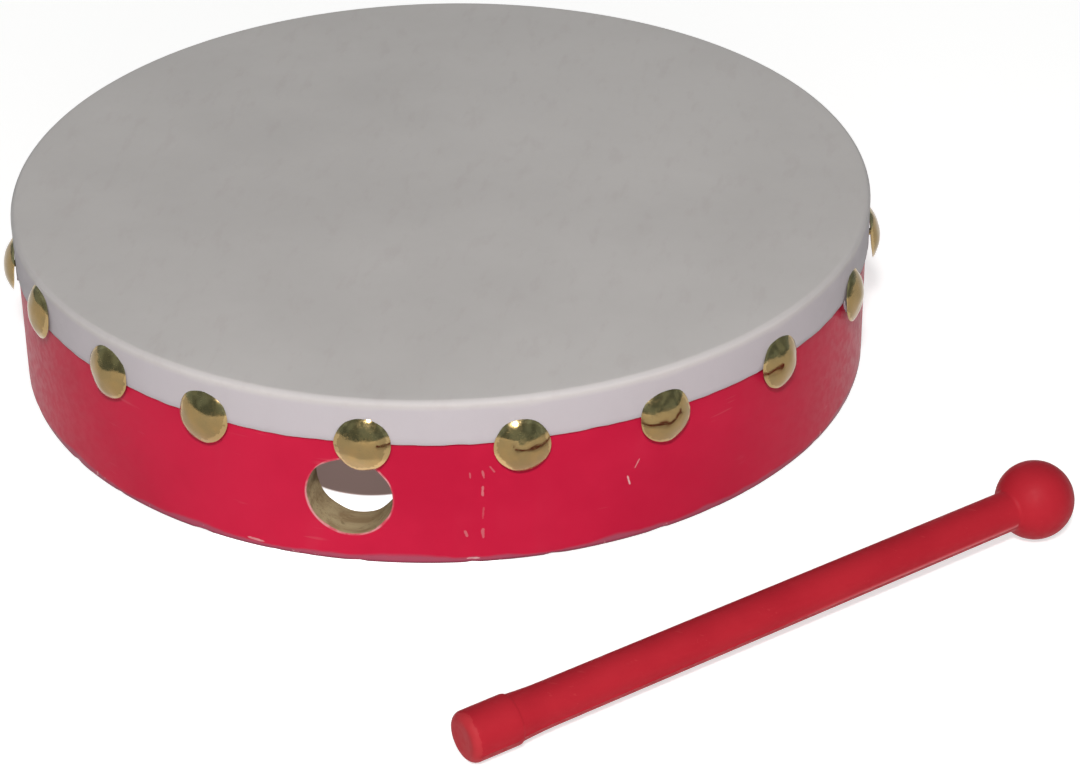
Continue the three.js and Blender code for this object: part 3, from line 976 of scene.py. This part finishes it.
def tack_tree():
    """Geometry nodes that drive one tack at each seat, lean it a little and dent its dome."""
    tree, given, result = group(
        "GeometryNodeTree", "driven_tacks",
        [("Seats", "NodeSocketGeometry", None), ("Tack", "NodeSocketObject", None),
         ("Lean", "NodeSocketFloat", 0.02), ("Spin", "NodeSocketFloat", ROUND),
         ("Dent depth", "NodeSocketFloat", 0.0001), ("Dent scale", "NodeSocketFloat", 300.0),
         ("Seed", "NodeSocketInt", 0), ("Finish", "NodeSocketMaterial", None)],
        [("Tacks", "NodeSocketGeometry")],
    )
    facing = put(
        tree, "GeometryNodeInputNamedAttribute", {"Name": "facing"}, data_type="FLOAT_VECTOR",
    ).outputs[0]
    towards = put(tree, "FunctionNodeAlignRotationToVector", {"Vector": facing}, axis="Z").outputs[0]
    most = {"X": given["Lean"], "Y": given["Lean"], "Z": given["Spin"]}
    lean = put(tree, "ShaderNodeCombineXYZ", most).outputs[0]
    back = put(tree, "ShaderNodeVectorMath", {0: lean, "Scale": -1.0}, operation="SCALE").outputs[0]
    chance = put(
        tree, "FunctionNodeRandomValue", {0: back, 1: lean, "Seed": given["Seed"]}, data_type="FLOAT_VECTOR",
    ).outputs[0]
    tilt = put(tree, "FunctionNodeEulerToRotation", {0: chance}).outputs[0]
    set_down = put(
        tree, "FunctionNodeRotateRotation", {"Rotation": towards, "Rotate By": tilt}, rotation_space="LOCAL",
    ).outputs[0]
    shape = put(
        tree, "GeometryNodeObjectInfo", {"Object": given["Tack"]}, transform_space="ORIGINAL",
    ).outputs["Geometry"]
    driven = put(
        tree, "GeometryNodeInstanceOnPoints",
        {"Points": given["Seats"], "Instance": shape, "Rotation": set_down},
    ).outputs[0]
    real = put(tree, "GeometryNodeRealizeInstances", {0: driven}).outputs[0]
    dents = put(tree, "ShaderNodeTexNoise", {"Scale": given["Dent scale"], "Detail": 1.0}).outputs["Color"]
    centred = vectors(tree, "SUBTRACT", dents, (0.5, 0.5, 0.5))["Vector"]
    moved = put(
        tree, "ShaderNodeVectorMath", {0: centred, "Scale": given["Dent depth"]}, operation="SCALE",
    ).outputs[0]
    dented = put(tree, "GeometryNodeSetPosition", {"Geometry": real, "Offset": moved}).outputs[0]
    finished = put(
        tree, "GeometryNodeSetMaterial", {"Geometry": dented, "Material": given["Finish"]},
    ).outputs[0]
    tree.links.new(finished, result["Tacks"])
    return tree


def set_inputs(modifier, values):
    """Sets a modifier's inputs by their sockets' identifiers."""
    for item in modifier.node_group.interface.items_tree:
        if item.in_out == "INPUT" and item.name in values:
            modifier[item.identifier] = values[item.name]


def make_tacks():
    """All tacks in one piece, each where its node is."""
    one = wrapped("one_tack", tack_rows())
    points = points_of(one) / MM
    out = np.hypot(points[:, 0], points[:, 1])
    at_rim = np.exp(-(((out - TACK_RADIUS) / TACK_WORN_RIM) ** 2))
    mark_points(one, "edge", at_rim * (points[:, 2] > TACK_WORN_FROM))
    smoothed(one, TACK_SHARP)
    pattern = standing("one_tack", one, [BRASS])

    seats = bpy.data.meshes.new("tacks_brass")
    sunk = TACK_FACING * [1, 1, 0] * TACK_SINK * MM
    seats.from_pydata((TACK_RIM - sunk).tolist(), [], [])
    facing = seats.attributes.new("facing", "FLOAT_VECTOR", "POINT")
    facing.data.foreach_set("vector", TACK_FACING.astype(np.float32).ravel())
    tacks = standing("tacks_brass", seats, [])
    driven = tacks.modifiers.new("driven_tacks", "NODES")
    driven.node_group = tack_tree()
    set_inputs(driven, {"Tack": pattern, "Finish": BRASS, **TACK_DRIVING})
    made_plain(tacks)
    bpy.data.objects.remove(pattern)
    return tacks


def beater_piece(name, profile, seam_span=None):
    """A turned piece of the beater, with the mould's two seams raised along a span of it."""
    turns = np.linspace(0, ROUND, BEATER_TURNS, endpoint=False)
    seam = np.exp(-((np.sin(turns - SEAM_TURN) / SEAM_WIDTH) ** 2)) * SEAM_HEIGHT
    rows = []
    for radius, height in profile:
        seamed = seam_span and seam_span[0] <= height <= seam_span[1] and radius > SEAM_LEAST_RADIUS
        rows.append(turned_row(radius + (seam if seamed else 0), turns, height))
    mesh = wrapped(name, rows)
    mesh.transform(BEATER_PLACE)
    return standing(name, mesh, [PLASTIC])


def mark_beater(piece, seam_end):
    """Marks the worn butt end, and the moulding seam along the stick for its painted highlight."""
    back = np.array(BEATER_PLACE.inverted())
    points = points_of(piece.data) @ back[:3, :3].T + back[:3, 3]
    height = points[:, 2] / MM
    mark_points(piece.data, "edge", np.exp(-((height - CAP_END) / CAP_WORN_LENGTH) ** 2))
    turn = np.arctan2(points[:, 1], points[:, 0])
    # The seam's mark carries a painted highlight, fading in along the stick
    line = np.exp(-(((turn - SEAM_TURN) / SEAM_WIDTH) ** 2))
    shown = np.clip((height - SEAM_HIGHLIGHT_START) / SEAM_HIGHLIGHT_FADE, 0, 1) * (height < seam_end)
    mark_points(piece.data, "seam", line * shown)


def make_beater():
    """The ball, the stick and the end cap, turned on one axis and laid where their nodes lie."""
    seat = -math.sqrt(BALL_RADIUS ** 2 - TIP_RADIUS ** 2)
    seat_angle = math.degrees(math.atan2(seat, TIP_RADIUS))
    bore = [(0, seat + SOCKET_INSET), (TIP_RADIUS - SOCKET_INSET, seat + SOCKET_INSET)]
    ball = beater_piece("beater_ball_moulded", [*bore, *arc(0, 0, BALL_RADIUS, seat_angle + 1, 90, 40)])

    # The stick flares a little at the butt and runs into the ball by a fillet that is tangent to both
    cap_seat = CAP_END + CAP_LENGTH
    out = TIP_RADIUS + NECK_FILLET
    neck = -math.sqrt((BALL_RADIUS + NECK_FILLET) ** 2 - out ** 2)
    fillet = arc(out, neck, NECK_FILLET, 180, math.degrees(math.atan2(-neck, -out)), 8)
    shaft_end = neck - NECK_LENGTH
    slope = np.linspace(cap_seat, shaft_end, 44)
    share = np.clip((slope - cap_seat) / (shaft_end - cap_seat), 0, 1)
    flare = STICK_FLARE * np.clip(1 - (slope - cap_seat) / STICK_FLARE_LENGTH, 0, 1) ** STICK_FLARE_BEND
    shaft = zip(BUTT_RADIUS + (TIP_RADIUS - BUTT_RADIUS) * share + flare, slope)
    butt_end = cap_seat - BUTT_INTO_CAP
    butt = [(0, butt_end), (BUTT_RADIUS - BUTT_CHAMFER, butt_end)]
    fillet_out, fillet_end = fillet[-1]
    tip = [(fillet_out - TIP_INTO_BALL, fillet_end + TIP_CHAMFER), (0, fillet_end + TIP_INTO_BALL)]
    stick = beater_piece("beater_stick_moulded", [*butt, *shaft, *fillet, *tip], (cap_seat, shaft_end))

    end = CAP_END + CAP_END_RADIUS
    bore = [(0, cap_seat - SOCKET_INSET), (BUTT_RADIUS - SOCKET_INSET, cap_seat - SOCKET_INSET)]
    mouth = [(CAP_RADIUS - narrower, cap_seat - down) for narrower, down in CAP_MOUTH]
    straight = [(CAP_RADIUS, z) for z in np.linspace(mouth[-1][1], end, 8)[1:-1]]
    rounded = arc(CAP_RADIUS - CAP_END_RADIUS, end, CAP_END_RADIUS, 0, -90, 8)
    dish = [(radius, CAP_END + deep) for radius, deep in CAP_DISH]
    profile = [*bore, *mouth, *straight, *rounded, *dish]
    cap = beater_piece("beater_end_cap_moulded", profile, (end, butt_end))

    for piece in (ball, stick, cap):
        mark_beater(piece, neck)
        smoothed(piece.data, BEATER_SHARP)
    return ball, stick, cap


# Studio

def make_floor():
    """A pale floor that the camera and shiny metal see as white, and that keeps the shadows; inside the drum
    it is painted darker as shade, with a painted pool of light by the thumb hole.
    """
    mesh = bpy.data.meshes.new("floor")
    corners = [(x * FLOOR_SIZE, y * FLOOR_SIZE, 0) for x, y in ((-1, -1), (1, -1), (1, 1), (-1, 1))]
    mesh.from_pydata(corners, [], [(0, 1, 2, 3)])
    material = bpy.data.materials.new("pale_floor")
    material.use_nodes = True
    tree = material.node_tree
    tree.nodes.remove(tree.nodes["Principled BSDF"])
    place = put(tree, "ShaderNodeTexCoord").outputs["Object"]

    def beyond(middle, near, far):
        """0 up to the near distance from the middle, 1 past the far one."""
        shifted = put(tree, "ShaderNodeMapping", {"Vector": place, "Location": -middle}).outputs[0]
        return eased(tree, vectors(tree, "LENGTH", shifted)["Value"], near * MM, far * MM)

    # Painted shade on the floor inside the drum, and a painted pool of light where light through the thumb
    # hole would fall
    toward = Vector((math.cos(THUMB_HOLE_TURN), math.sin(THUMB_HOLE_TURN), 0))
    inwards = Matrix.Rotation(math.radians(SHADED_FLOOR_TURN), 3, "Z") @ -toward
    below_hole = DRUM_AXIS + toward * HOOP_INNER_RADIUS * MM
    shaded = DRUM_AXIS + (toward * HOOP_RADIUS + inwards * SHADED_FLOOR_IN) * MM
    past_shade = beyond(
        shaded, SHADED_FLOOR_RADIUS - SHADED_FLOOR_SOFTNESS, SHADED_FLOOR_RADIUS + SHADED_FLOOR_SOFTNESS,
    )
    past_light = beyond(below_hole, CRESCENT_REACH - CRESCENT_FADE, CRESCENT_REACH)
    painted_light_crescent = scaled(tree, past_shade, calc(tree, "SUBTRACT", 1.0, past_light))
    lit = calc(tree, "MAXIMUM", beyond(DRUM_AXIS, HOOP_INNER_RADIUS, HOOP_RADIUS), painted_light_crescent)
    colour = mixed(tree, lit, linear(FLOOR_SHADED), linear(FLOOR_WHITE))
    plain = put(tree, "ShaderNodeBsdfDiffuse", {"Color": colour}).outputs[0]
    far_away = beyond(DRUM_AXIS, FAR_GLOW_FROM, FAR_GLOW_TO)
    glow = eased(tree, lit, 0.0, 1.0, FLOOR_GLOW_SHADED, FLOOR_GLOW)
    glow = calc(tree, "ADD", glow, scaled(tree, painted_light_crescent, CRESCENT_PAINTED_LIGHT))
    glow = calc(tree, "ADD", glow, scaled(tree, far_away, FAR_GLOW))
    glowing = put(tree, "ShaderNodeEmission", {"Color": colour, "Strength": glow}).outputs[0]
    white = put(tree, "ShaderNodeAddShader", {0: plain, 1: glowing}).outputs[0]
    path = put(tree, "ShaderNodeLightPath").outputs
    seen = calc(tree, "MAXIMUM", path["Is Camera Ray"], path["Is Glossy Ray"])
    seen = calc(tree, "MAXIMUM", seen, path["Is Transmission Ray"])
    surface = put(tree, "ShaderNodeMixShader", {0: seen, 1: plain, 2: white}).outputs[0]
    tree.links.new(surface, tree.nodes["Material Output"].inputs["Surface"])
    floor = standing("floor", mesh, [material])


def make_lamp(name, turn, elevation, size, power, colour, shiny):
    """A soft lamp aimed at the drum, placed by its turn from -Y and its elevation."""
    lamp = bpy.data.lights.new(name, "AREA")
    lamp.shape, lamp.size = "DISK", size
    lamp.energy, lamp.color = power, colour
    holder = bpy.data.objects.new(name, lamp)
    bpy.context.scene.collection.objects.link(holder)
    a, e = math.radians(turn), math.radians(elevation)
    out = Vector((math.sin(a) * math.cos(e), -math.cos(a) * math.cos(e), math.sin(e)))
    holder.location = LAMP_AIM + out * LAMP_DISTANCE
    holder.rotation_mode = "QUATERNION"
    holder.rotation_quaternion = (-out).to_track_quat("-Z", "Y")
    holder.visible_glossy = shiny


def make_world():
    """A dim even light all round, and the uneven room that shiny metal shows."""
    world = bpy.data.worlds.new("dim_room")
    world.use_nodes = True
    tree = world.node_tree
    backdrop = tree.nodes["Background"]
    way = put(tree, "ShaderNodeTexCoord").outputs["Generated"]
    patches = eased(tree, clouds(tree, way, ROOM_PATCH_SCALE, detail=2.0), 0.45, 0.62, *ROOM_REFLECTED)
    shiny = put(tree, "ShaderNodeLightPath").outputs["Is Glossy Ray"]
    colour = mixed(tree, shiny, ROOM_LIGHT, ROOM_TINT)
    strength = put(
        tree, "ShaderNodeMix", {0: shiny, 2: ROOM_STRENGTH, 3: patches}, data_type="FLOAT",
    ).outputs[0]
    tree.links.new(colour, backdrop.inputs["Color"])
    tree.links.new(strength, backdrop.inputs["Strength"])
    bpy.context.scene.world = world


def make_camera():
    """The camera, aimed by its turn, pan, tilt and roll."""
    camera = bpy.data.cameras.new("camera")
    camera.lens = CAMERA_LENS
    camera.sensor_width = CAMERA_SENSOR
    camera.clip_start = CAMERA_NEAR
    holder = bpy.data.objects.new("camera", camera)
    bpy.context.scene.collection.objects.link(holder)
    turn = math.radians(CAMERA_TURN)
    holder.location = DRUM_AXIS + Vector(
        (CAMERA_OUT * math.sin(turn), -CAMERA_OUT * math.cos(turn), CAMERA_HEIGHT)
    )
    aim = (
        Matrix.Rotation(math.radians(CAMERA_TURN + CAMERA_PAN), 3, "Z")
        @ Matrix.Rotation(math.radians(CAMERA_TILT), 3, "X")
        @ Matrix.Rotation(math.radians(CAMERA_ROLL), 3, "Y")
        @ Matrix.Rotation(math.radians(90), 3, "X")
    )
    holder.rotation_mode = "QUATERNION"
    holder.rotation_quaternion = aim.to_quaternion()
    bpy.context.scene.camera = holder


make_camera()
make_floor()
make_world()
for lamp, (turn, elevation, size, power, colour, shiny) in LAMPS.items():
    make_lamp(lamp, CAMERA_TURN + turn, elevation, size, power, colour, shiny)
bpy.context.scene.view_settings.view_transform = "Standard"

hoop = make_hoop()
skin = make_skin()
tacks = make_tacks()
ball, stick, cap = make_beater()

for piece, body, slot, nodes in (
    (hoop, "drum", "lacquered_wood", ["hoop"]),
    (skin, "drum", "skin", ["skin_head"]),
    (tacks, "drum", "brass", TACK_NODES),
    (ball, "beater", "red_plastic", ["beater_ball"]),
    (stick, "beater", "red_plastic", ["beater_stick"]),
    (cap, "beater", "red_plastic", ["beater_end_cap"]),
):
    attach(piece, body)
    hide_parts(*nodes)
